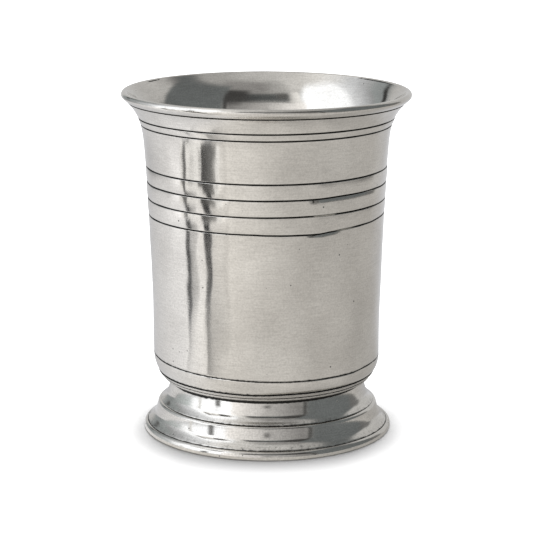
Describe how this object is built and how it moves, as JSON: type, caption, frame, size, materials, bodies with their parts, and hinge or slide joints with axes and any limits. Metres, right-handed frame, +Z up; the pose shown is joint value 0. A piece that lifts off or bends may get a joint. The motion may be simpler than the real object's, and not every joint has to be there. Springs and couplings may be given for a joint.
{
  "type": "tumbler",
  "caption": "Footed pewter drinking tumbler with a flared lip, turned bands around the wall, a rounded bottom with a narrow collar and a hollow stepped foot.",
  "frame": {"origin": "centre of the foot's resting ring, on the surface it stands on", "axes": "+Z up along the axis of the cup, towards its mouth; the shape is turned, so +X and +Y are any two directions square to it"},
  "size_m": [0.089, 0.089, 0.1065],
  "materials": {
    "pewter_satin": "satin pewter, lightly brushed around the axis, with dark patina in the turned lines",
    "pewter_polished": "polished cast pewter with soft reflections and small pits",
    "solder": "dull tin solder"
  },
  "bodies": {
    "root": {"cup_wall": "pewter_satin", "cup_bottom": "pewter_satin", "foot": "pewter_polished", "wall_solder": "solder", "foot_solder": "solder"}
  },
  "joints": []
}
